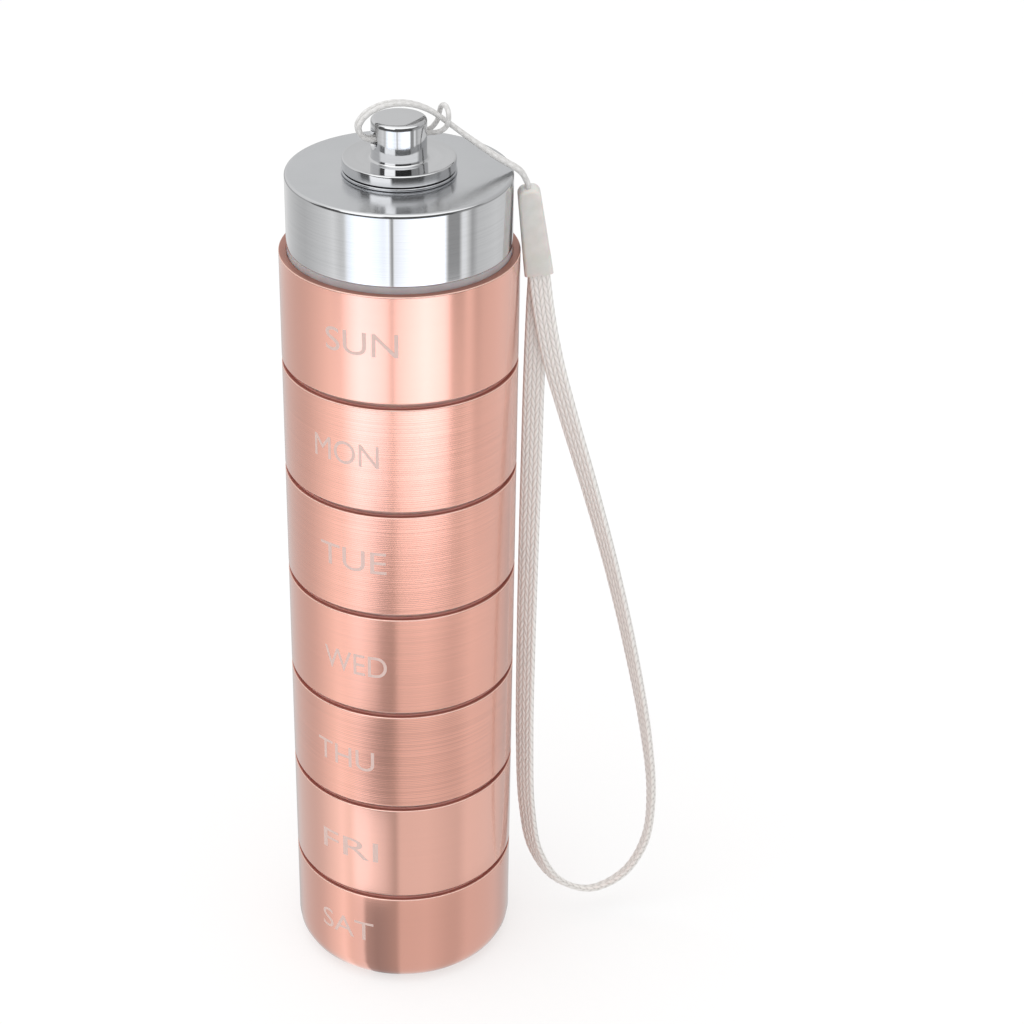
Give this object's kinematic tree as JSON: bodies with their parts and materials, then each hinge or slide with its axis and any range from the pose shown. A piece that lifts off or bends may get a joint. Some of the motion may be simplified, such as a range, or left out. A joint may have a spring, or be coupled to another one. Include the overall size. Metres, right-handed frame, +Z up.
{
  "type": "weekly pill organizer",
  "caption": "Round metal cups that screw into one another as a stack, closed by a screw cap with a lanyard post and a wrist strap.",
  "frame": {"origin": "centre of the bottom cup's flat foot, on the surface that it stands on", "axes": "+Z up along the stack, +X to the side where the strap hangs, -Y to the front with the day names"},
  "size_m": [0.0473, 0.028, 0.1163],
  "materials": {
    "cup": "turned and anodised rose gold",
    "chrome": "polished, with a finely turned top face",
    "bare_aluminium": "as turned",
    "steel": "bright",
    "seal": "translucent grey silicone",
    "cord": "round braid of silver-grey filament",
    "ivory_plastic": "smooth off-white",
    "braid": "flat ribbed braid of silver-grey filament"
  },
  "bodies": {
    "cup_sat": {"cup_sat": "cup"},
    "seal_fri": {"seal_fri": "seal"},
    "cup_fri": {"cup_fri": "cup"},
    "seal_thu": {"seal_thu": "seal"},
    "cup_thu": {"cup_thu": "cup"},
    "seal_wed": {"seal_wed": "seal"},
    "cup_wed": {"cup_wed": "cup"},
    "seal_tue": {"seal_tue": "seal"},
    "cup_tue": {"cup_tue": "cup"},
    "seal_mon": {"seal_mon": "seal"},
    "cup_mon": {"cup_mon": "cup"},
    "seal_sun": {"seal_sun": "seal"},
    "cup_sun": {"cup_sun": "cup"},
    "cap_seal": {"cap_seal": "seal"},
    "cap": {"cap_shell": "chrome", "cap_plug": "bare_aluminium", "post_washer": "steel"},
    "post": {"lanyard_post": "chrome", "post_screw": "steel", "hitch_cord": "cord", "crimp_sleeve": "ivory_plastic", "wrist_loop": "braid"}
  },
  "joints": [
    {"name": "lift_fri", "type": "slide", "parent": "cup_sat", "child": "seal_fri", "axis": [0, 0, 1], "range_m": [0, 0.004]},
    {"name": "turn_fri", "type": "hinge", "parent": "seal_fri", "child": "cup_fri", "pos_m": [0, 0, 0.014], "axis": [0, 0, 1], "range_deg": [0, 720]},
    {"name": "lift_thu", "type": "slide", "parent": "cup_fri", "child": "seal_thu", "axis": [0, 0, 1], "range_m": [0, 0.004]},
    {"name": "turn_thu", "type": "hinge", "parent": "seal_thu", "child": "cup_thu", "pos_m": [0, 0, 0.0281], "axis": [0, 0, 1], "range_deg": [0, 720]},
    {"name": "lift_wed", "type": "slide", "parent": "cup_thu", "child": "seal_wed", "axis": [0, 0, 1], "range_m": [0, 0.004]},
    {"name": "turn_wed", "type": "hinge", "parent": "seal_wed", "child": "cup_wed", "pos_m": [0, 0, 0.0422], "axis": [0, 0, 1], "range_deg": [0, 720]},
    {"name": "lift_tue", "type": "slide", "parent": "cup_wed", "child": "seal_tue", "axis": [0, 0, 1], "range_m": [0, 0.004]},
    {"name": "turn_tue", "type": "hinge", "parent": "seal_tue", "child": "cup_tue", "pos_m": [0, 0, 0.0563], "axis": [0, 0, 1], "range_deg": [0, 720]},
    {"name": "lift_mon", "type": "slide", "parent": "cup_tue", "child": "seal_mon", "axis": [0, 0, 1], "range_m": [0, 0.004]},
    {"name": "turn_mon", "type": "hinge", "parent": "seal_mon", "child": "cup_mon", "pos_m": [0, 0, 0.0704], "axis": [0, 0, 1], "range_deg": [0, 720]},
    {"name": "lift_sun", "type": "slide", "parent": "cup_mon", "child": "seal_sun", "axis": [0, 0, 1], "range_m": [0, 0.004]},
    {"name": "turn_sun", "type": "hinge", "parent": "seal_sun", "child": "cup_sun", "pos_m": [0, 0, 0.0845], "axis": [0, 0, 1], "range_deg": [0, 720]},
    {"name": "lift_cap", "type": "slide", "parent": "cup_sun", "child": "cap_seal", "axis": [0, 0, 1], "range_m": [0, 0.004]},
    {"name": "turn_cap", "type": "hinge", "parent": "cap_seal", "child": "cap", "pos_m": [0, 0, 0.0986], "axis": [0, 0, 1], "range_deg": [0, 720]},
    {"name": "post_swivel", "type": "hinge", "parent": "cap", "child": "post", "pos_m": [0, 0, 0.10835], "axis": [0, 0, 1], "continuous": true}
  ],
  "couplings": [
    {"joint": "lift_fri", "follows": "turn_fri", "m_per_rad": 0.0003183},
    {"joint": "lift_thu", "follows": "turn_thu", "m_per_rad": 0.0003183},
    {"joint": "lift_wed", "follows": "turn_wed", "m_per_rad": 0.0003183},
    {"joint": "lift_tue", "follows": "turn_tue", "m_per_rad": 0.0003183},
    {"joint": "lift_mon", "follows": "turn_mon", "m_per_rad": 0.0003183},
    {"joint": "lift_sun", "follows": "turn_sun", "m_per_rad": 0.0003183},
    {"joint": "lift_cap", "follows": "turn_cap", "m_per_rad": 0.0003183}
  ]
}
